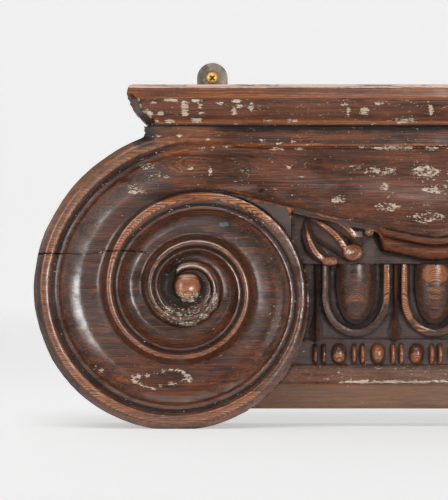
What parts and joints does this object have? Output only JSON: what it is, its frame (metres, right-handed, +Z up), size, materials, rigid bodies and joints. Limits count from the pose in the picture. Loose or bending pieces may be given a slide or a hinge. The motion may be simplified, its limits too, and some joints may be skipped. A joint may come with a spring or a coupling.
{
  "type": "ionic pilaster capital",
  "caption": "Carved pine Ionic capital for a pilaster, with two spiral volutes, egg and dart under a sagging canalis, a moulded abacus and steel hanging plates.",
  "frame": {"origin": "bottom centre of the whole object's box, level with the undersides of the volutes", "axes": "+X along the wall from volute to volute, -Y out of the carved front, +Y into the wall, +Z up"},
  "size_m": [0.494, 0.082, 0.2289],
  "materials": {
    "pine": "old dark stain and wax polish, worn on the high edges, with specks of old paint",
    "steel": "dark bronzed steel",
    "brass": "bright polished brass"
  },
  "bodies": {
    "root": {"carved_block": "pine", "abacus": "pine", "hanging_plate_left": "steel", "hanging_plate_right": "steel", "wall_screw_left": "brass", "wall_screw_right": "brass", "plate_screw_left_1": "steel", "plate_screw_left_2": "steel", "plate_screw_right_1": "steel", "plate_screw_right_2": "steel"}
  },
  "joints": []
}
